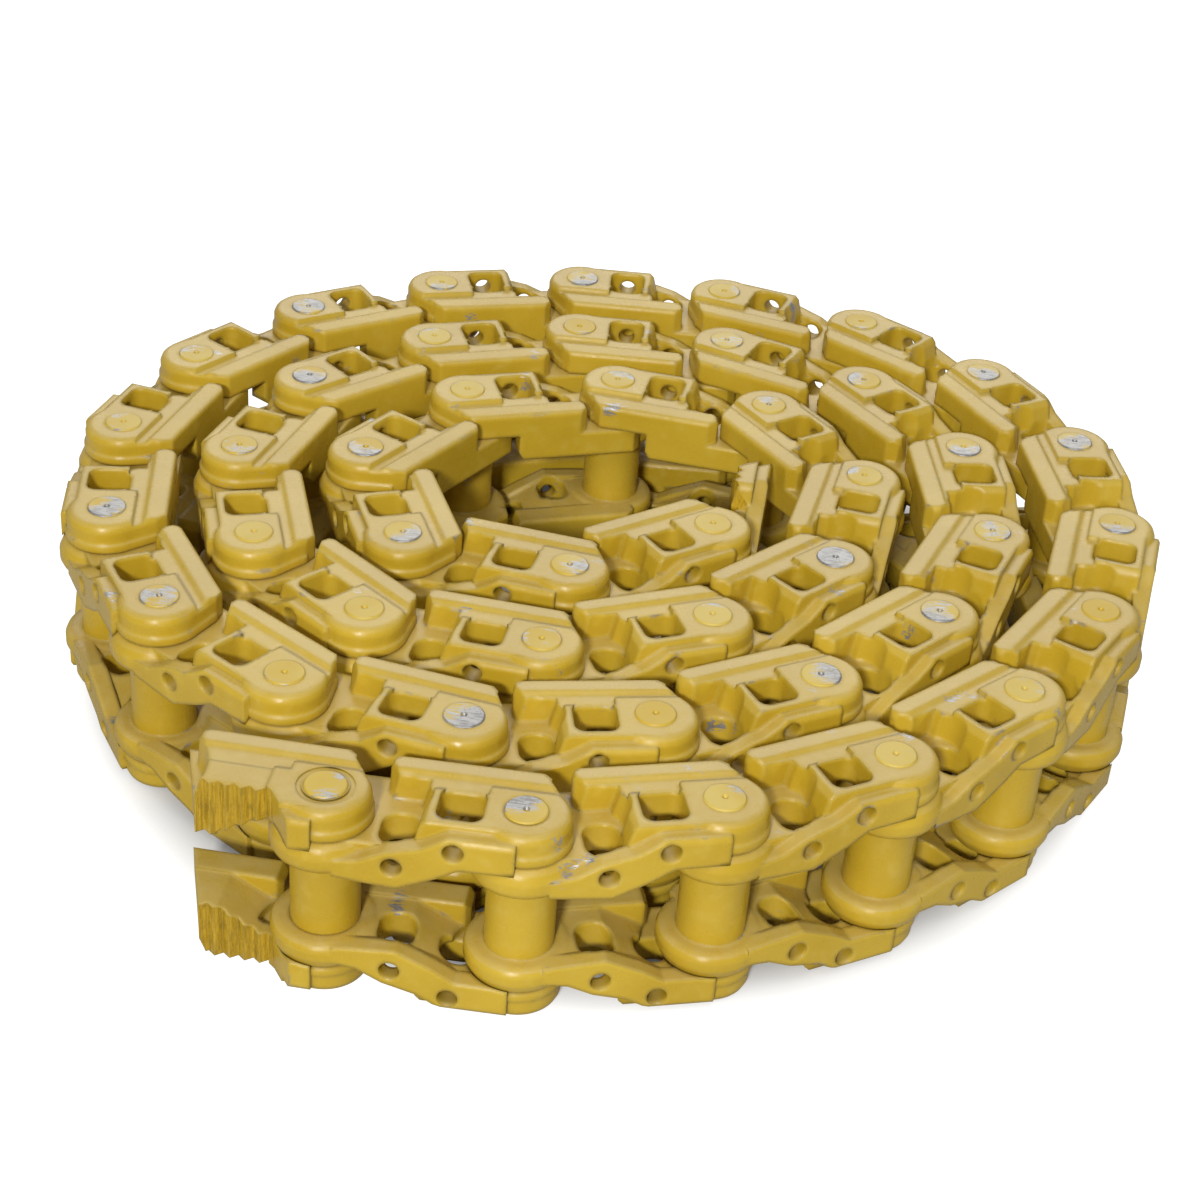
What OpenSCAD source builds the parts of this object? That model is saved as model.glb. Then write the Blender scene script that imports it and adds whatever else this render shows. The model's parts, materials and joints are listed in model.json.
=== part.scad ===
// Track chain for a large excavator, coiled up on its side as it is stored and sold.
// Millimetres, +Z up. The pins stand upright, and the chain rests on its lower pin heads.
// A link runs along its own X from its bush (0) to its pin (one pitch on).
// Its rail side is +Y, towards the middle of the coil, and its shoe face is -Y, outwards.
// Upper and lower links are mirror images about the chain's middle plane.

/* [Chain] */
// Distance from one pin to the next
pitch = 216; // [208:1:226]
// Height over the outboard pads of the two links
chain_w = 252; // [244:1:268]
// Length of bush left free between the two links, where a sprocket tooth goes
bush_free = 100; // [92:1:106]
// Side play between a pin end and the bush end that turns inside it
side_gap = 1; // [0.6:0.1:1.6]

/* [Pins and bushes] */
// Diameter of the pins
pin_d = 48; // [44:0.5:50]
// How far a pin head stands out of its pad
pin_proud = 2; // [1:0.5:3]
// Width of the turned edge on a pin head
pin_edge = 1.6; // [1:0.2:2.4]
// Outside diameter of the bushes
bush_d = 78; // [74:0.5:82]
// Play all round a pin inside its bush
pin_play = 0.4; // [0.3:0.05:0.6]
// How far a bush end reaches into the pin end's recess
bush_nose = 4; // [3:0.5:5]
// Height of a dust seal
seal_h = 6; // [4:0.5:7]
// Gap left round a pressed piece, so that each piece stays its own solid
press_gap = 0.1; // [0.06:0.02:0.2]
// Gap left above and below a dust seal
seal_gap = 0.4; // [0.3:0.1:0.6]

/* [Links] */
// From the pin line to the rail's running face
rail_y = 75; // [72:1:78]
// From the pin line to the shoe face
shoe_y = 58; // [56:1:61]
// Radius of the boss that holds a pin
pin_boss_r = 50; // [47:0.5:52]
// How far the forging's flange stands out round the foot of the pin boss
flange = 2.5; // [1.5:0.5:3]
// Radius of the boss that holds a bush
bush_boss_r = 61; // [58:0.5:62]
// Width of the rail block
rail_w = 35; // [32:1:38]
// How far the crest of the rail lies below the pad
rail_drop = 2; // [1:0.5:4]
// Depth of the channel between the pad and the crest of the rail
channel_d = 6; // [4:0.5:8]
// How far the rail runs on past its pin, and back past its bush
rail_over = 19; // [14:1:22]
// Size of the corner taken off each rail end
rail_corner = 12; // [8:1:14]
// From a pin or bush to where the rail takes its full depth, clear of the next rail when folded
rail_full = 60; // [58:1:62]
// Thickness of the wall behind the shoe face
shoe_wall = 22; // [20:1:24]
// Free space kept round a link end as it folds
swing_gap = 2; // [1.5:0.5:3]
// Width along the link of the nut window nearer the pin
pin_window_w = 51; // [46:1:52]
// Length across the link of the nut window nearer the pin
pin_window_l = 54; // [48:1:56]
// Radius of the nut window nearer the bush
bush_window_r = 21; // [18:0.5:22]

/* [Shoe bolts] */
// From the pad's height in to the bolt hole nearer the pin
bolt_edge = 24; // [23:0.5:27]
// How much nearer the chain's middle the bolt hole by the bush lies
bolt_step = 29; // [27:0.5:31]
// Spacing along the chain of the two rows of bolt holes
bolt_apart = 65; // [62:0.5:68]
// From the bush to the nearer row of bolt holes
bolt_first = 82.5; // [80:0.5:85]
// Diameter of a bolt hole
bolt_hole_d = 23.5; // [22:0.5:25]

/* [Master link] */
// How far the outer master half stands bent at its pin
outer_bend = 2; // [0:1:8]
// How far the inner master half stands bent at its pin
inner_bend = 48; // [40:1:52]
// Number of teeth on a master half's joint face
teeth = 5; // [4:1:6]
// Depth of those teeth
tooth_d = 7; // [5:0.5:8]

/* [Coil] */
// Space between one layer of the coil and the next
coil_gap = 29; // [28:0.5:36]
// Radius of the innermost pin, before the coil's bulges
core_r = 199; // [197:1:210]
// Direction of the innermost pin as the coil is walked
core_angle = -26; // [-30:1:-24]
// How much the coil is drawn out into an oval
bulge_two = 30; // [24:1:32]
// How much the coil is drawn out into three corners
bulge_three = 8.5; // [6:0.5:12]
// Direction of the coil's bulges
bulge_dir = 18; // [16:1:22]

/* [Hidden] */
$fn = 64;
// Whole links between the two master halves, and the pins they turn on
link_count = 43;
pin_count = link_count + 1;

// Heights above the chain's middle plane
pad_z = chain_w / 2;
pin_z = pad_z + pin_proud;
in_z = bush_free / 2;
split_z = (pad_z + in_z) / 2;
pin_in_z = split_z + side_gap / 2;
bush_out_z = split_z - side_gap / 2;
rail_z = pad_z - rail_drop;
channel_z = pad_z - channel_d;
shoe_z = pad_z - 8;
nose_z = bush_out_z + bush_nose;
recess_z = nose_z + seal_h + 2 * seal_gap;

// Radii
pin_r = pin_d / 2;
bush_r = bush_d / 2;
hole_r = bolt_hole_d / 2;
boss_round = 9;
bush_round = 17;

// Along a link
bolt_second = bolt_first + bolt_apart;
bolt_wide = chain_w - 2 * bolt_edge;
bolt_narrow = bolt_wide - 2 * bolt_step;
rail_in_y = rail_y - rail_w;
wall_in_y = shoe_y - shoe_wall;
pin_window_y = -4;
pad_from = bolt_second + pin_window_w / 2;
bush_window_y = -wall_in_y + bush_window_r + 4;

// The largest circle a rail end sweeps about its own pin or bush
swing_r = max(norm([rail_over - rail_corner, rail_y]), norm([rail_over, rail_y - rail_corner])) + swing_gap;

// Coil: a spiral walked outwards from its inner end, with an oval and a three-cornered bulge
coil_step = rail_y + shoe_y + coil_gap;
function coil_at(t) =
  let (a = core_angle - t)
  let (out = coil_step * t / 360)
  let (two = bulge_two * cos(2 * (a - bulge_dir)))
  let (three = bulge_three * cos(3 * (a - bulge_dir)))
  (core_r + out + two + three) * [cos(a), sin(a)];
// The next place on the spiral one pitch away, found by halving
function next_t(t, lo, hi, n) =
  let (mid = (lo + hi) / 2)
  n == 0 ? mid
  : norm(coil_at(mid) - coil_at(t)) < pitch ? next_t(t, mid, hi, n - 1)
  : next_t(t, lo, mid, n - 1);
function walk(list) =
  let (t = list[len(list) - 1])
  len(list) == pin_count ? list
  : walk(concat(list, [next_t(t, t + 5, t + 120, 40)]));
walked = walk([0]);
// Pins in the order of the chain, outer end first
raw = [for (i = [0 : pin_count - 1]) coil_at(walked[pin_count - 1 - i])];
function heading(a, b) = atan2(b[1] - a[1], b[0] - a[0]);
// The first whole link is turned to lie along X
lay = -heading(raw[0], raw[1]);
function turned(p) = [p[0] * cos(lay) - p[1] * sin(lay), p[0] * sin(lay) + p[1] * cos(lay)];
laid = [for (p = raw) turned(p)];
head = [for (i = [1 : pin_count - 1]) heading(laid[i - 1], laid[i])];
// Corners of every shoe face, for the middle of the whole coil
function corner(i, x) =
  laid[i] + [x * cos(head[i]) + shoe_y * sin(head[i]), x * sin(head[i]) - shoe_y * cos(head[i])];
corners = [for (i = [0 : link_count - 1]) for (x = [0, pitch - 3]) corner(i, x)];
xs = concat(
  [for (c = corners) c[0]],
  [for (p = laid) p[0] - bush_boss_r],
  [for (p = laid) p[0] + bush_boss_r]
);
ys = concat(
  [for (c = corners) c[1]],
  [for (p = laid) p[1] - bush_boss_r],
  [for (p = laid) p[1] + bush_boss_r]
);
middle = [(min(xs) + max(xs)) / 2, (min(ys) + max(ys)) / 2];
pins = [for (p = laid) p - middle];

link_nodes = [for (i = [3 : pin_count]) str("link_unit_", i < 10 ? "0" : "", i)];
outer_nodes = ["outer_master_upper_half", "outer_master_lower_half", "master_pin", "master_pin_seals"];
front_nodes = ["front_upper_link", "front_lower_link", "front_bush", "front_pin", "front_pin_seals"];
inner_nodes = ["inner_master_upper_half", "inner_master_lower_half", "inner_master_bush"];

paint = [0.80, 0.62, 0.13];
worn = [0.72, 0.60, 0.25];
rubber = [0.10, 0.10, 0.11];

// Puts children along Y, drawn in X and Z, from y0 to y1
module along_y(y0, y1) {
  translate([0, y1, 0])
    rotate([90, 0, 0])
      linear_extrude(height = y1 - y0) children();
}

// Puts children along X, drawn in Y and Z, from x0 to x1
module along_x(x0, x1) {
  translate([x0, 0, 0])
    rotate([90, 0, 90])
      linear_extrude(height = x1 - x0) children();
}

// Outline of the pin boss from its axis: a flange at its foot and a rounded outboard edge
module pin_boss_outline(r) {
  low = pin_in_z;
  foot = low + 11;
  e = boss_round;
  polygon([
    [0, low],
    [r + flange - 2, low],
    [r + flange, low + 2],
    [r + flange, foot],
    [r, foot + 2],
    [r, pad_z - e],
    [r - 0.27 * e, pad_z - 0.38 * e],
    [r - 0.62 * e, pad_z - 0.1 * e],
    [r - e, pad_z],
    [0, pad_z]
  ]);
}

// Boss round the pin: a drum, with a flat that runs on to the corner of the rail and makes it D-shaped
module pin_boss() {
  corner = [rail_over, rail_y - rail_corner];
  flat_r = pin_boss_r - 0.4;
  turn = atan2(corner[1], corner[0]) - acos(flat_r / norm(corner));
  long = sqrt(norm(corner) * norm(corner) - flat_r * flat_r);
  translate([pitch, 0, 0]) {
    rotate_extrude() pin_boss_outline(pin_boss_r);
    rotate(turn) along_y(0, long) pin_boss_outline(flat_r);
  }
}

// Outline of the bush boss from its axis, larger by grow; it reaches down to low, with an inboard edge
module bush_boss_outline(grow, low, edge) {
  r = bush_boss_r + grow;
  top = bush_out_z + grow;
  e = bush_round;
  polygon([
    [0, low],
    [r - edge, low],
    [r - 0.3 * edge, low + 0.3 * edge],
    [r, low + edge],
    [r, top - e],
    [r - 0.27 * e, top - 0.38 * e],
    [r - 0.62 * e, top - 0.1 * e],
    [r - e, top],
    [0, top]
  ]);
}

// Boss round the bush: rounded where the pin end passes over it
module bush_boss() {
  rotate_extrude() bush_boss_outline(0, in_z, 9);
}

// Rail: high over the pin end, low over the bush end, full height in the middle
module rail() {
  intersection() {
    along_x(-rail_over - 1, pitch + rail_over + 1)
      polygon([
        [rail_in_y, in_z],
        [rail_y - 3, in_z],
        [rail_y, in_z + 3],
        [rail_y, pad_z],
        [rail_in_y, pad_z]
      ]);
    along_y(rail_in_y - 1, rail_y + 1)
      polygon([
        [-rail_over, in_z - 1],
        [pitch - rail_full - 8, in_z - 1],
        [pitch - rail_full, in_z + 12],
        [pitch - rail_full, pin_in_z],
        [pitch + rail_over, pin_in_z],
        [pitch + rail_over, pad_z],
        [rail_full + 5, pad_z],
        [rail_full, rail_z - 8],
        [rail_full, bush_out_z],
        [-rail_over, bush_out_z]
      ]);
    translate([0, 0, in_z - 2])
      linear_extrude(height = pad_z - in_z + 4)
        polygon([
          [-rail_over, rail_in_y - 1],
          [pitch + rail_over, rail_in_y - 1],
          [pitch + rail_over, rail_y - rail_corner],
          [pitch + rail_over - rail_corner, rail_y],
          [rail_corner - rail_over, rail_y],
          [-rail_over, rail_y - rail_corner]
        ]);
  }
}

// Middle plate: joggled from the bush end's height to the pin end's
module web() {
  along_y(-wall_in_y - 4, rail_in_y + 4)
    polygon([
      [0, in_z + 2],
      [bolt_first + 14, in_z + 2],
      [pitch - 70, pin_in_z - 8],
      [pitch, pin_in_z],
      [pitch, pad_z],
      [bolt_first + 32, pad_z],
      [bolt_first + 26, pad_z - 6],
      [bolt_first + 18, bush_out_z],
      [0, bush_out_z]
    ]);
}

// Wall behind the shoe face: its edges follow the joggle
module shoe_band() {
  end = pitch - 3;
  along_y(-shoe_y, -wall_in_y)
    polygon([
      [18, in_z + 1],
      [46, in_z - 2],
      [bolt_first + 5, in_z - 5],
      [130, in_z + 15],
      [154, pin_in_z - 9],
      [end, pin_in_z - 8],
      [end, shoe_z],
      [140, shoe_z],
      [113, shoe_z - 16],
      [bolt_first - 8, shoe_z - 27],
      [46, shoe_z - 42],
      [18, shoe_z - 46]
    ]);
}

// A window straight through: w along the link, long across it, with its corners rounded to r
module window(x, y, w, long, r, z0, z1) {
  across = long / 2 - r;
  along = w / 2 - r;
  translate([x, y, z0]) {
    for (sx = [-1, 1])
      for (sy = [-1, 1])
        translate([sx * along, sy * across, 0]) cylinder(r = r, h = z1 - z0);
    translate([-w / 2, -across, 0]) cube([w, 2 * across, z1 - z0]);
    translate([-along, -long / 2, 0]) cube([2 * along, long, z1 - z0]);
  }
}

// Cuts that shape the outboard face: the channel and crest of the rail, and the rounding to the shoe face
module outboard_slopes() {
  step_y = 33;
  crest_y = rail_y - 25;
  along_x(0, pitch + pin_boss_r + 5)
    polygon([
      [step_y, pad_z],
      [step_y + 2, channel_z],
      [crest_y - 5, channel_z],
      [crest_y, rail_z],
      [rail_y - 4, rail_z - 2],
      [rail_y - 1, rail_z - 4],
      [rail_y, rail_z - 7],
      [rail_y + 5, rail_z - 7],
      [rail_y + 5, pad_z + 5],
      [step_y, pad_z + 5]
    ]);
  translate([0, step_y - 14, channel_z]) cube([pad_from, 16, 2 * channel_d]);
  along_x(0, pitch - 2)
    polygon([
      [-wall_in_y - 4, pad_z],
      [-wall_in_y - 4, pad_z + 5],
      [-shoe_y - 5, pad_z + 5],
      [-shoe_y - 5, shoe_z - 5],
      [-shoe_y, shoe_z - 5],
      [-shoe_y + 4, shoe_z + 2],
      [-shoe_y + 9, shoe_z + 6]
    ]);
}

// Room for the pin end of the link before, which folds over the bush end
module outboard_room() {
  translate([0, 0, bush_out_z]) {
    cylinder(r1 = swing_r, r2 = swing_r + 8, h = pad_z - bush_out_z + 1);
    translate([rail_full, rail_y, 0])
      rotate(45) translate([-8, -8, 0]) cube([16, 16, pad_z]);
  }
}

// Open pocket between the bush end and the window, with the nearer bolt's nut at its foot
module pocket() {
  translate([bolt_first - 2, 9, bush_out_z])
    cylinder(r1 = 28, r2 = 35, h = pad_z - bush_out_z + 1);
}

// Floor of a master link's pin half, which has no pocket
module tongue_floor() {
  from = rail_full + 5;
  translate([from, -wall_in_y, bush_out_z - 2])
    cube([pitch - 96 - from, wall_in_y + rail_in_y + 4, pad_z - bush_out_z + 2]);
}

// Room for the bush end of the link after, which folds under the pin end
module inboard_room() {
  low = in_z - 20;
  translate([pitch, 0, 0]) {
    rotate_extrude() bush_boss_outline(side_gap, low, 1);
    intersection() {
      translate([0, 0, low]) cylinder(r = swing_r, h = pin_in_z - low);
      translate([-pitch, 0, low]) cube([2 * pitch, pitch, pin_in_z - low]);
    }
  }
}

// Bores and the recess for the dust seal
module bores() {
  translate([0, 0, in_z - 5]) cylinder(r = bush_r + press_gap, h = pad_z);
  translate([pitch, 0, in_z]) cylinder(r = pin_r + press_gap, h = pad_z);
  translate([pitch, 0, in_z]) cylinder(r = bush_r + 1.5, h = recess_z - in_z);
}

module bolt_hole(x, z, depth) {
  translate([x, -shoe_y - 1, z])
    rotate([-90, 0, 0]) cylinder(r = hole_r, h = depth + 1);
}

// A whole forged link without its pocket, windows and holes; a solid one has a master link's floor
module blank(solid) {
  difference() {
    union() {
      rail();
      web();
      shoe_band();
      pin_boss();
      if (solid) tongue_floor();
    }
    outboard_slopes();
    outboard_room();
    inboard_room();
  }
  bush_boss();
}

// Upper link: the most worked piece, with its pocket and its two nut windows
module link() {
  difference() {
    blank(false);
    pocket();
    window(bolt_second, pin_window_y, pin_window_w, pin_window_l, 13, pin_in_z - 3, pad_z + 5);
    window(bolt_second, pin_window_y, pin_window_w - 14, pin_window_l - 14, 15, in_z - 10, pad_z);
    window(bolt_first, bush_window_y, 2 * bush_window_r, 54, 19, in_z - 10, bush_out_z + 20);
    bolt_hole(bolt_first, bolt_narrow / 2, shoe_wall + 8);
    bolt_hole(bolt_second, bolt_wide / 2, shoe_wall + 8);
    bores();
  }
}

// Plan of the pin half of a master link, with its toothed joint face
module pin_half_plan() {
  start = [pitch - 139, -21];
  stop = [pitch - 53, -22];
  step = (stop - start) / teeth;
  across = [step[1], -step[0]] / norm(step);
  polygon(concat(
    [[pitch - 175, rail_y + 5]],
    [for (i = [0 : teeth - 1]) for (p = [start + step * i, start + step * (i + 0.5) - across * tooth_d]) p],
    [stop, [pitch - 23, -shoe_y - 5], [pitch + 90, -shoe_y - 5], [pitch + 90, rail_y + 5]]
  ));
}

// Pin half of the master link: its rail tongue ends in the toothed face
module master_pin_half() {
  groove_out = pin_r + 8;
  groove_in = pin_r + 2;
  difference() {
    intersection() {
      blank(true);
      translate([0, 0, in_z - 20])
        linear_extrude(height = chain_w) pin_half_plan();
    }
    bores();
    translate([0, -shoe_y - 1, pad_z - 4]) cube([pitch - 61, shoe_y + 34, 10]);
    translate([pitch, 0, pad_z - 2])
      difference() {
        cylinder(r = groove_out, h = 5);
        translate([0, 0, -1]) cylinder(r = groove_in, h = 7);
      }
  }
}

// Bush half of the master link: its shoe tongue takes the bolts
module master_bush_half() {
  difference() {
    blank(false);
    translate([0, 0, in_z - 20])
      linear_extrude(height = chain_w) pin_half_plan();
    bolt_hole(bolt_first, bolt_narrow / 2, shoe_y + 20);
    bolt_hole(bolt_second, bolt_wide / 2, shoe_y + 20);
    bores();
  }
}

module bush() {
  edge = 2;
  long = 2 * nose_z;
  difference() {
    union() {
      translate([0, 0, -long / 2 + edge]) cylinder(r = bush_r, h = long - 2 * edge);
      translate([0, 0, -long / 2]) cylinder(r1 = bush_r - edge, r2 = bush_r, h = edge);
      translate([0, 0, long / 2 - edge]) cylinder(r1 = bush_r, r2 = bush_r - edge, h = edge);
    }
    translate([0, 0, -long]) cylinder(r = pin_r + pin_play, h = 2 * long);
  }
}

// Pin with a turned edge, and the centre mark of its lathe work if dimple is true
module pin(dimple) {
  mark = 4;
  translate([pitch, 0, 0])
    difference() {
      union() {
        translate([0, 0, pin_edge - pin_z]) cylinder(r = pin_r, h = 2 * (pin_z - pin_edge));
        for (side = [0, 1])
          mirror([0, 0, side])
            translate([0, 0, pin_z - pin_edge])
              cylinder(r1 = pin_r, r2 = pin_r - pin_edge, h = pin_edge);
      }
      if (dimple)
        for (side = [0, 1])
          mirror([0, 0, side])
            translate([0, 0, pin_z - mark])
              cylinder(r1 = 0.5, r2 = mark, h = mark + 0.01);
    }
}

// Two dust seals, each between a bush end and the recess round the pin
module seals() {
  for (side = [0, 1])
    mirror([0, 0, side])
      translate([pitch, 0, nose_z + seal_gap])
        difference() {
          cylinder(r = bush_r - 2, h = seal_h);
          translate([0, 0, -1]) cylinder(r = pin_r + 2, h = seal_h + 2);
        }
}

// Puts children where link i lies, counted from the outer end; i = 1 and pin_count + 1 are the master halves
module place(i) {
  whole = i > 1 && i <= pin_count;
  turn = whole ? head[i - 2] : i == 1 ? head[0] - outer_bend : head[link_count - 1] + inner_bend;
  pin_at = pins[i - 1];
  bush_at = i == 1 ? pin_at - pitch * [cos(turn), sin(turn)] : pins[i - 2];
  translate([bush_at[0], bush_at[1], pin_z])
    rotate(turn) children();
}

// One whole link with its bush, pin and seals, each a solid of its own
module link_unit(i) {
  place(i) {
    color(paint) link();
    color(paint) mirror([0, 0, 1]) link();
    color(paint) bush();
    color(worn) pin(true);
    color(rubber) seals();
  }
}

module outer_master_upper_half() { place(1) color(paint) master_pin_half(); }
module outer_master_lower_half() { place(1) color(paint) mirror([0, 0, 1]) master_pin_half(); }
module master_pin() { place(1) color(worn) pin(false); }
module master_pin_seals() { place(1) color(rubber) seals(); }
module front_upper_link() { place(2) color(paint) link(); }
module front_lower_link() { place(2) color(paint) mirror([0, 0, 1]) link(); }
module front_bush() { place(2) color(paint) bush(); }
module front_pin() { place(2) color(worn) pin(true); }
module front_pin_seals() { place(2) color(rubber) seals(); }
module inner_master_upper_half() { place(pin_count + 1) color(paint) master_bush_half(); }
module inner_master_lower_half() { place(pin_count + 1) color(paint) mirror([0, 0, 1]) master_bush_half(); }
module inner_master_bush() { place(pin_count + 1) color(paint) bush(); }

outer_master_upper_half();
outer_master_lower_half();
master_pin();
master_pin_seals();
front_upper_link();
front_lower_link();
front_bush();
front_pin();
front_pin_seals();
for (i = [3 : pin_count])
  link_unit(i);
inner_master_upper_half();
inner_master_lower_half();
inner_master_bush();
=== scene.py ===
"""Looks of the coiled excavator track chain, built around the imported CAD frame.

The chain lies on its side, so its pins stand upright along Z. Every CAD node keeps its
shape and gets procedural materials: worn yellow paint on the links and bushes, streaked
joint teeth, scuffed pin heads and black rubber seals.
"""
import json
import math

import bpy
import numpy as np
from mathutils import Matrix, Vector

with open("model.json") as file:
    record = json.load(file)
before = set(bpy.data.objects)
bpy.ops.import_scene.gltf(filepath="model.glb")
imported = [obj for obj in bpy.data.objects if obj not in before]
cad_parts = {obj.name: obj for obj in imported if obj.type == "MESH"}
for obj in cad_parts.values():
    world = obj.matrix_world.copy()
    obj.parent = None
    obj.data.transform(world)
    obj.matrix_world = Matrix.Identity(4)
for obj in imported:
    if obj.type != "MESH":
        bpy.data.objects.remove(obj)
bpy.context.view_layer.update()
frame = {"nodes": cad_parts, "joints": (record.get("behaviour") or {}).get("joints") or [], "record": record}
nodes = frame["nodes"]
scene = bpy.context.scene

# sizes of the pieces, in metres, as in the part's source
PIN_R = 0.024
BUSH_R = 0.039
SEAL_IN_R = 0.026
SEAL_OUT_R = 0.037
SEAL_LOW = 0.0915  # heights of a seal, from the chain's middle plane
SEAL_HIGH = 0.0983
MIDDLE_Z = 0.128
PITCH = 0.216
SLACK = 0.00006

# turns of the two master halves against the links they hang on, in degrees
OUTER_BEND = 2.0
INNER_BEND = 48.0

# where a master half has its joint teeth, from its bush end: along it and across it
TEETH_ALONG = (0.072, 0.166)
TEETH_ACROSS = (-0.0245, -0.010)
UPRIGHT = 0.3  # a face counts as upright while its normal rises less than this

# colours, linear
PAINT = (0.550, 0.372, 0.030)
PAINT_PALE = (0.600, 0.445, 0.085)
PAINT_DEEP = (0.470, 0.306, 0.018)
# beige of dust on the tops, also standing in for a painted sheen
DUST_AND_SHEEN = (0.560, 0.455, 0.235)
# dark gold for painted shade in crevices and hollows
SHADE_GOLD = (0.200, 0.128, 0.012)
TEETH_DARK = (0.350, 0.214, 0.008)
TEETH_LIGHT = (0.520, 0.332, 0.020)
BARE = (0.400, 0.392, 0.380)
BARE_DARK = (0.190, 0.183, 0.168)
RUBBER = (0.018, 0.018, 0.019)
RUBBER_WORN = (0.045, 0.042, 0.038)
FLOOR = (0.46, 0.46, 0.45)
WHITE = (1.0, 1.0, 1.0)

PAINT_IOR = 1.5

# floor: its half width, how much of its glow reflections see, and the glow's rise
# from a painted shade under the coil, which keeps the ground seen through the nut windows dark, to white
FLOOR_HALF = 40.0
MIRRORED = 0.06
GLOW_FROM, GLOW_TO = 0.58, 0.72
GLOW_LEAST, GLOW_MOST = 0.04, 0.88

SKY_STRENGTH = 0.33
# name, place, aim, width, depth in metres and power in watts: a small lamp behind the
# camera, a weak one above and a wide one at the back for the sheen
LAMPS = (
    ("front_lamp", (-0.6, -7.0, 4.2), (0, 0, 0.1), 0.9, 0.7, 480),
    ("top_lamp", (0.6, -2.0, 3.4), (0, -0.3, 0.2), 1.8, 1.4, 26),
    ("back_lamp", (-0.3, 4.0, 2.7), (0, 0, 0.2), 4.6, 2.6, 92),
)

# camera, set where the photo's pins and the chain's pins agree best
CAMERA_RIGHT = Vector((0.990834, 0.118185, 0.065416))
CAMERA_UP = Vector((-0.119427, 0.540151, 0.833051))
CAMERA_BACK = Vector((0.063120, -0.833228, 0.549315))
CAMERA_AT = Vector((0.19322, -2.58697, 1.80550))
SENSOR_MM = 36.0
FOCAL_PX = 2344.0
PHOTO_PX = 1200.0


class Graph:
    """A material's node tree with short calls for the nodes used here."""

    def __init__(self, name):
        self.material = bpy.data.materials.new(name)
        self.material.use_nodes = True
        self.tree = self.material.node_tree
        self.tree.nodes.clear()
        self.output = self.tree.nodes.new("ShaderNodeOutputMaterial")

    def node(self, kind, **settings):
        made = self.tree.nodes.new(kind)
        for key, value in settings.items():
            setattr(made, key, value)
        return made

    def join(self, source, target):
        self.tree.links.new(source, target)

    def feed(self, socket, value):
        """Sets a socket, or links another node's socket to it."""
        if isinstance(value, bpy.types.NodeSocket):
            self.join(value, socket)
        else:
            socket.default_value = value

    def place(self, scale=(1, 1, 1), turn=(0, 0, 0)):
        """Coordinates of the object at rest, stretched and turned."""
        coords = self.node("ShaderNodeTexCoord")
        mapping = self.node("ShaderNodeMapping")
        mapping.inputs["Scale"].default_value = scale
        mapping.inputs["Rotation"].default_value = turn
        self.join(coords.outputs["Object"], mapping.inputs["Vector"])
        return mapping.outputs["Vector"]

    def noise(self, scale, detail=3, rough=0.5, at=None):
        made = self.node("ShaderNodeTexNoise")
        self.join(at or self.place(), made.inputs["Vector"])
        made.inputs["Scale"].default_value = scale
        made.inputs["Detail"].default_value = detail
        made.inputs["Roughness"].default_value = rough
        return made.outputs["Fac"]

    def ramp(self, value, low, high, bottom=0.0, top=1.0):
        """Value stretched so that low gives bottom and high gives top."""
        made = self.node("ShaderNodeMapRange", clamp=True, interpolation_type="SMOOTHSTEP")
        self.feed(made.inputs["Value"], value)
        made.inputs["From Min"].default_value = low
        made.inputs["From Max"].default_value = high
        made.inputs["To Min"].default_value = bottom
        made.inputs["To Max"].default_value = top
        return made.outputs["Result"]

    def math(self, operation, a, b=0.0):
        made = self.node("ShaderNodeMath", operation=operation)
        self.feed(made.inputs[0], a)
        self.feed(made.inputs[1], b)
        return made.outputs[0]

    def times(self, a, b):
        return self.math("MULTIPLY", a, b)

    def plus(self, a, b):
        return self.math("ADD", a, b)

    def mix(self, share, a, b):
        """Colour a, turning into b as share goes to 1."""
        made = self.node("ShaderNodeMix", data_type="RGBA")
        self.feed(made.inputs["Factor"], share)
        for socket, value in ((made.inputs[6], a), (made.inputs[7], b)):
            self.feed(socket, (*value, 1.0) if isinstance(value, tuple) else value)
        return made.outputs[2]

    def bump(self, height, strength, distance, normal=None):
        made = self.node("ShaderNodeBump")
        made.inputs["Strength"].default_value = strength
        made.inputs["Distance"].default_value = distance
        self.feed(made.inputs["Height"], height)
        if normal is not None:
            self.join(normal, made.inputs["Normal"])
        return made.outputs["Normal"]

    def principled(self, **inputs):
        """The material's surface; an input's name has _ for each space."""
        made = self.node("ShaderNodeBsdfPrincipled")
        for key, value in inputs.items():
            self.feed(made.inputs[key.replace("_", " ")], value)
        self.join(made.outputs[0], self.output.inputs["Surface"])


def soft_edges(g, radius, samples=4):
    """Normals that round every edge off, as forging does, and a mask of those edges."""
    bevel = g.node("ShaderNodeBevel", samples=samples)
    bevel.inputs["Radius"].default_value = radius
    plain = g.node("ShaderNodeNewGeometry")
    dot = g.node("ShaderNodeVectorMath", operation="DOT_PRODUCT")
    g.join(bevel.outputs["Normal"], dot.inputs[0])
    g.join(plain.outputs["Normal"], dot.inputs[1])
    edge = g.ramp(dot.outputs["Value"], low=0.995, high=0.90)
    return bevel.outputs["Normal"], edge


def upward(g):
    """1 on faces that look up, where dust settles and a painted sheen lies, and 0 on upright ones."""
    plain = g.node("ShaderNodeNewGeometry")
    split = g.node("ShaderNodeSeparateXYZ")
    g.join(plain.outputs["Normal"], split.inputs[0])
    return g.ramp(split.outputs["Z"], low=0.55, high=0.98)


def crevices(g, distance, samples=6):
    """1 where the surface is hemmed in, 0 where it lies open."""
    shade = g.node("ShaderNodeAmbientOcclusion", samples=samples)
    shade.inputs["Distance"].default_value = distance
    return g.ramp(shade.outputs["AO"], low=0.75, high=0.20)


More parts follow.
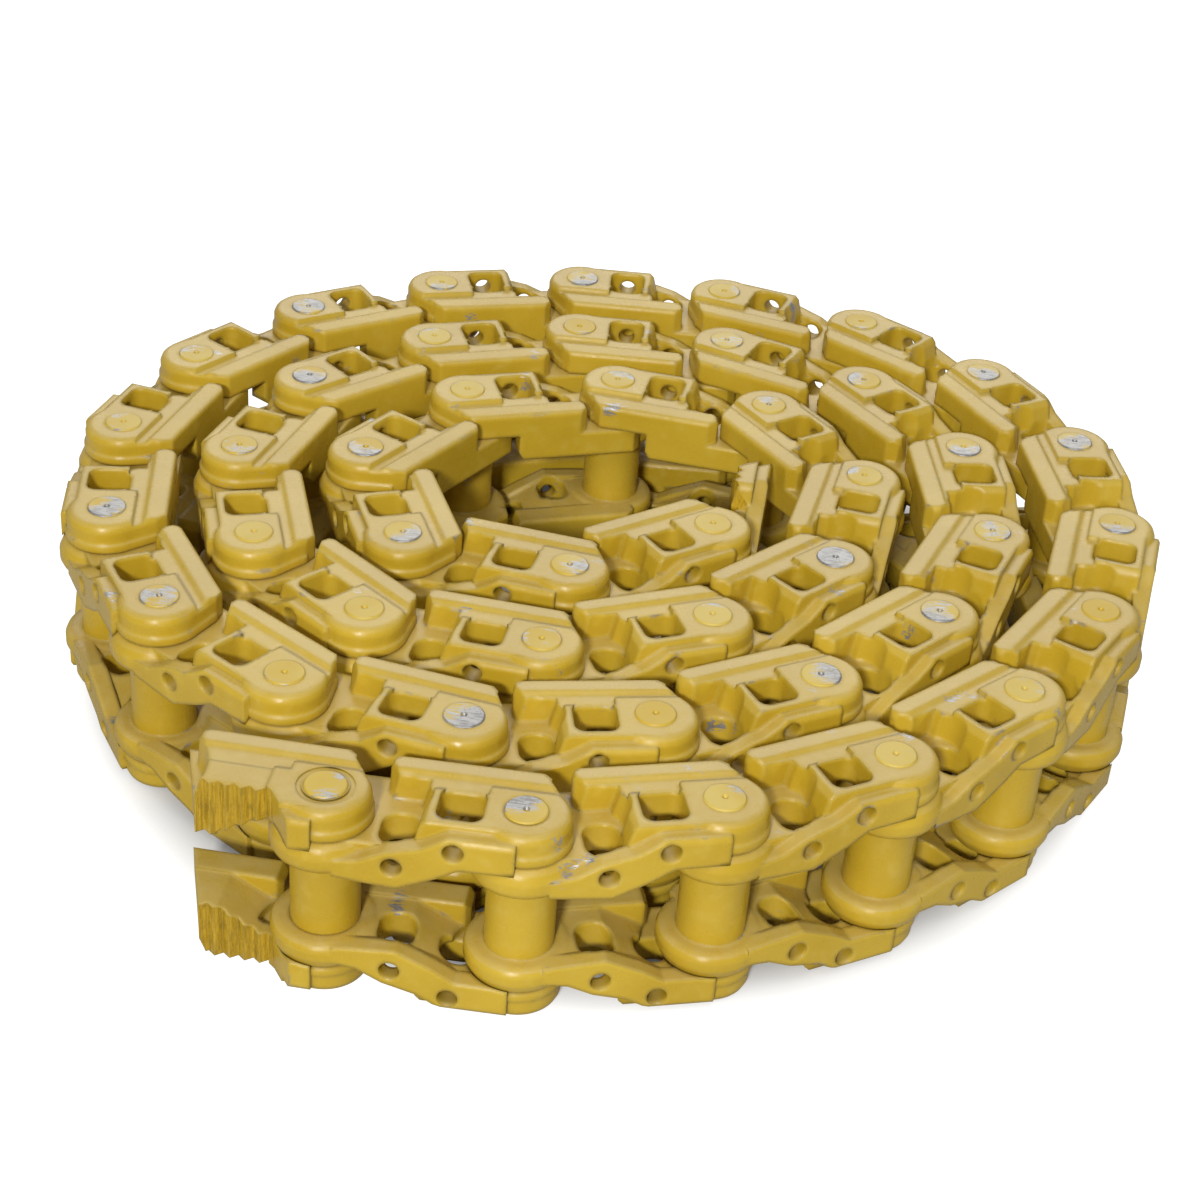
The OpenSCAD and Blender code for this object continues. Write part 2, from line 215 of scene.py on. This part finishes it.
def paint_material(name, edge_radius, scuffed):
    """Thick sprayed paint over a rough forging; steel shows in patches above scuffed."""
    g = Graph(name)
    normal, edge = soft_edges(g, edge_radius, samples=6)
    # colour: broad patches, pale blotches, a painted highlight along the edges, dust with a painted sheen on
    # top and painted shade in crevices
    broad = g.noise(5.0, detail=4)
    blotch = g.noise(38.0, detail=4, rough=0.6)
    colour = g.mix(g.ramp(broad, low=0.35, high=0.68), PAINT_DEEP, PAINT)
    colour = g.mix(g.times(g.ramp(blotch, low=0.50, high=0.78), 0.35), colour, PAINT_PALE)
    # painted highlight: the rounded edges turn paler, as if catching the light
    colour = g.mix(g.times(edge, 0.30), colour, PAINT_PALE)
    # dust and painted sheen: faces that look up turn paler and beige, as if lit from above
    dust_and_sheen_share = g.times(upward(g), g.ramp(blotch, low=0.25, high=0.70, bottom=0.16, top=0.34))
    colour = g.mix(dust_and_sheen_share, colour, DUST_AND_SHEEN)
    # painted shade: hemmed-in surfaces are darkened towards a dark gold
    crevice_shade = g.times(crevices(g, distance=0.026), 0.38)
    colour = g.mix(crevice_shade, colour, SHADE_GOLD)
    # scratches run one way inside patches where the paint has been rubbed off
    strokes = g.noise(
        1.0, detail=3, rough=0.6, at=g.place(scale=(60.0, 420.0, 420.0), turn=(0.0, 0.0, 0.6))
    )
    patch = g.noise(17.0, detail=2)
    rubbed = g.plus(g.times(patch, 0.72), g.times(strokes, 0.28))
    bare = g.ramp(rubbed, low=scuffed, high=scuffed + 0.025)
    knocked = g.times(edge, g.ramp(g.noise(21.0, detail=3, rough=0.6), low=0.63, high=0.69))
    bare = g.math("MAXIMUM", bare, g.times(knocked, 0.7))
    steel = g.mix(g.ramp(strokes, low=0.38, high=0.62), BARE_DARK, BARE)
    colour = g.mix(bare, colour, steel)
    # relief: forged waves, the paint's fine peel, and hollows where it is gone
    fine = g.times(g.noise(70.0, detail=5, rough=0.62), 0.8)
    waves = g.times(g.noise(17.0, detail=2), 2.2)
    peel = g.noise(520.0, detail=2)
    height = g.plus(g.plus(fine, waves), g.times(peel, 0.12))
    height = g.math("SUBTRACT", height, g.times(bare, 0.12))
    shine = g.ramp(blotch, low=0.3, high=0.7, bottom=0.25, top=0.37)
    g.principled(
        Base_Color=colour,
        Metallic=g.times(bare, 0.5),
        Roughness=g.plus(shine, g.times(crevice_shade, 0.3)),
        Normal=g.bump(height, strength=0.35, distance=0.0016, normal=normal),
        IOR=PAINT_IOR,
        Specular_IOR_Level=0.4,
    )
    return g.material


def cut_material(name):
    """Joint teeth: flame-cut steel under runs of thick paint, streaked along the cut."""
    g = Graph(name)
    normal, edge = soft_edges(g, 0.0025)
    streaks = g.noise(1.0, detail=4, rough=0.6, at=g.place(scale=(260.0, 260.0, 26.0)))
    lumps = g.noise(90.0, detail=4, rough=0.6, at=g.place(scale=(1.0, 1.0, 0.45)))
    colour = g.mix(g.ramp(streaks, low=0.36, high=0.66), TEETH_DARK, TEETH_LIGHT)
    # painted shade: the relief's hollows are darkened
    pits = g.ramp(lumps, low=0.30, high=0.48, bottom=1.0, top=0.0)
    colour = g.mix(g.times(pits, 0.55), colour, SHADE_GOLD)
    # painted highlight: the teeth's edges turn paler, as if catching the light
    colour = g.mix(g.times(edge, 0.35), colour, PAINT_PALE)
    height = g.plus(g.times(streaks, 0.7), g.times(lumps, 0.9))
    g.principled(
        Base_Color=colour,
        Roughness=g.ramp(lumps, low=0.3, high=0.7, bottom=0.34, top=0.22),
        Normal=g.bump(height, strength=0.75, distance=0.0034, normal=normal),
        IOR=PAINT_IOR,
    )
    return g.material


def pin_material(name):
    """Painted pin heads, rubbed bare in patches where the coils were stacked."""
    g = Graph(name)
    normal, _ = soft_edges(g, 0.0012)
    broad = g.noise(9.0)
    colour = g.mix(g.ramp(broad, low=0.35, high=0.65), PAINT, PAINT_PALE)
    strokes = g.noise(
        1.0, detail=4, rough=0.65, at=g.place(scale=(70.0, 620.0, 620.0), turn=(0.0, 0.0, 0.5))
    )
    cross = g.noise(
        1.0, detail=3, rough=0.6, at=g.place(scale=(500.0, 90.0, 500.0), turn=(0.0, 0.0, -0.3))
    )
    patch = g.noise(12.5, detail=2, rough=0.45)
    rubbed = g.plus(g.times(patch, 0.7), g.times(strokes, 0.3))
    bare = g.ramp(rubbed, low=0.515, high=0.545)
    steel = g.mix(g.ramp(strokes, low=0.36, high=0.60), BARE_DARK, BARE)
    steel = g.mix(g.times(g.ramp(cross, low=0.56, high=0.66), 0.6), steel, BARE_DARK)
    colour = g.mix(bare, colour, steel)
    peel = g.noise(480.0, detail=2)
    height = g.plus(g.times(strokes, 0.5), g.times(peel, 0.2))
    g.principled(
        Base_Color=colour,
        Metallic=g.times(bare, 0.55),
        Roughness=g.ramp(bare, low=0.0, high=1.0, bottom=0.45, top=0.38),
        Normal=g.bump(height, strength=0.28, distance=0.0008, normal=normal),
        IOR=PAINT_IOR,
    )
    return g.material


def rubber_material(name):
    """Dull black rubber of the dust seals."""
    g = Graph(name)
    grain = g.noise(260.0)
    g.principled(
        Base_Color=g.mix(g.ramp(grain, low=0.4, high=0.7), RUBBER, RUBBER_WORN),
        Roughness=0.8,
        Normal=g.bump(grain, strength=0.3, distance=0.0006),
    )
    return g.material


def floor_material():
    """White to the camera, faint in reflections, with the chain's shadow on it and a painted shade under the
    coil, where the glow fades.
    """
    g = Graph("floor")
    path = g.node("ShaderNodeLightPath").outputs
    seen = g.math("MAXIMUM", path["Is Camera Ray"], path["Is Transmission Ray"])
    seen = g.math("MAXIMUM", seen, g.times(path["Is Glossy Ray"], MIRRORED))
    matt = g.node("ShaderNodeBsdfDiffuse")
    matt.inputs["Color"].default_value = (*FLOOR, 1.0)
    glow = g.node("ShaderNodeEmission")
    glow.inputs["Color"].default_value = (*WHITE, 1.0)
    far = g.node("ShaderNodeVectorMath", operation="LENGTH")
    g.join(g.place(), far.inputs[0])
    # the glow fades to dark under the coil: a painted shade beneath the chain
    shine = g.ramp(far.outputs["Value"], GLOW_FROM, GLOW_TO, GLOW_LEAST, GLOW_MOST)
    g.join(g.times(seen, shine), glow.inputs["Strength"])
    both = g.node("ShaderNodeAddShader")
    g.join(matt.outputs[0], both.inputs[0])
    g.join(glow.outputs[0], both.inputs[1])
    g.join(both.outputs[0], g.output.inputs["Surface"])
    return g.material


# material slots of every CAD node, in this order
LINK, BUSH, PIN, SEAL, TEETH = range(5)
LOOKS = (
    paint_material("link_paint", edge_radius=0.0085, scuffed=0.668),
    paint_material("bush_paint", edge_radius=0.0025, scuffed=0.690),
    pin_material("pin_paint"),
    rubber_material("seal_rubber"),
    cut_material("cut_paint"),
)


def reach(points, axis):
    """Distance of every point from an upright axis."""
    return np.linalg.norm(points[:, :2] - axis, axis=1)


def turned(along, degrees):
    """A flat direction turned about the upright axis."""
    c, s = math.cos(math.radians(degrees)), math.sin(math.radians(degrees))
    return np.array((along[0] * c - along[1] * s, along[0] * s + along[1] * c))


def between(values, limits):
    return (values > limits[0]) & (values < limits[1])


def on_teeth(faces, start, along):
    """Marks the upright faces in the toothed stretch of a master half."""
    across = np.array((-along[1], along[0]))
    offsets = faces.mean(1)[:, :2] - start
    sides = faces[:, 1:] - faces[:, :1]
    normals = np.cross(sides[:, 0], sides[:, 1])
    upright = np.abs(normals[:, 2]) < UPRIGHT * np.linalg.norm(normals, axis=1)
    toothed = between(offsets @ along, TEETH_ALONG) & between(offsets @ across, TEETH_ACROSS)
    return upright & toothed


def dress(obj, own_pin, own_bush, joint=None):
    """Gives every face of a CAD node the look of the piece it belongs to.

    own_pin and own_bush are the upright axes of the body's pin and bush. joint is a
    master half's bush end and direction, for the teeth of its joint face.
    """
    mesh = obj.data
    points = np.empty(len(mesh.vertices) * 3, np.float32)
    mesh.vertices.foreach_get("co", points)
    points = points.reshape(-1, 3)
    corners = np.empty(len(mesh.loops), np.int32)
    mesh.loops.foreach_get("vertex_index", corners)
    corners = corners.reshape(-1, 3)
    look = np.full(len(corners), LINK, np.int32)
    if own_bush is not None:
        r = reach(points, own_bush)[corners]
        look[r.max(1) < BUSH_R + SLACK] = BUSH
    if own_pin is not None:
        r = reach(points, own_pin)[corners]
        look[r.max(1) < PIN_R + SLACK] = PIN
        high = np.abs(points[:, 2] - MIDDLE_Z)[corners]
        sealed = (high.min(1) > SEAL_LOW) & (high.max(1) < SEAL_HIGH)
        ringed = (r.min(1) > SEAL_IN_R - SLACK) & (r.max(1) < SEAL_OUT_R + SLACK)
        look[sealed & ringed] = SEAL
    if joint is not None:
        look[on_teeth(points[corners], *joint)] = TEETH
    mesh.materials.clear()
    for material in LOOKS:
        mesh.materials.append(material)
    mesh.polygons.foreach_set("material_index", look)
    mesh.update()


# where the pins stand, counted from the chain's outer end; a body's bush turns on the
# pin of the body before it
hinges = sorted(frame["joints"], key=lambda hinge: hinge["name"])
pin_at = [np.array(hinge["pos_m"][:2]) for hinge in hinges]
outer_along = turned((pin_at[1] - pin_at[0]) / PITCH, -OUTER_BEND)
inner_along = turned((pin_at[-1] - pin_at[-2]) / PITCH, INNER_BEND)
joint_of = {
    "outer_master_half": (pin_at[0] - PITCH * outer_along, outer_along),
    "inner_master_half": (pin_at[-1], inner_along),
}
bodies = frame["record"]["behaviour"]["bodies"]
for index, (body, members) in enumerate(bodies.items()):
    own_pin = pin_at[index] if index < len(pin_at) else None
    own_bush = pin_at[index - 1] if index > 0 else None
    for name in members:
        dress(nodes[name], own_pin, own_bush, joint_of.get(body))

floor_mesh = bpy.data.meshes.new("floor")
square = [(x * FLOOR_HALF, y * FLOOR_HALF, 0) for x, y in ((-1, -1), (1, -1), (1, 1), (-1, 1))]
floor_mesh.from_pydata(square, [], [(0, 1, 2, 3)])
floor = bpy.data.objects.new("floor", floor_mesh)
scene.collection.objects.link(floor)
floor.data.materials.append(floor_material())

# light: the lamps and an even sky
world = bpy.data.worlds.new("studio")
scene.world = world
world.use_nodes = True
sky = world.node_tree.nodes["Background"]
sky.inputs["Color"].default_value = (*WHITE, 1.0)
sky.inputs["Strength"].default_value = SKY_STRENGTH

for name, at, aim, width, depth, power in LAMPS:
    light = bpy.data.lights.new(name, "AREA")
    light.shape = "RECTANGLE"
    light.size = width
    light.size_y = depth
    light.energy = power
    lamp = bpy.data.objects.new(name, light)
    scene.collection.objects.link(lamp)
    lamp.location = at
    lamp.rotation_euler = (Vector(aim) - Vector(at)).to_track_quat("-Z", "Y").to_euler()

camera_data = bpy.data.cameras.new("camera")
camera_data.sensor_width = SENSOR_MM
camera_data.lens = SENSOR_MM * FOCAL_PX / PHOTO_PX
camera = bpy.data.objects.new("camera", camera_data)
scene.collection.objects.link(camera)
axes = (CAMERA_RIGHT, CAMERA_UP, CAMERA_BACK, CAMERA_AT)
rows = [[axis[i] for axis in axes] for i in range(3)]
camera.matrix_world = Matrix((*rows, (0, 0, 0, 1)))
scene.camera = camera
scene.view_settings.view_transform = "Standard"
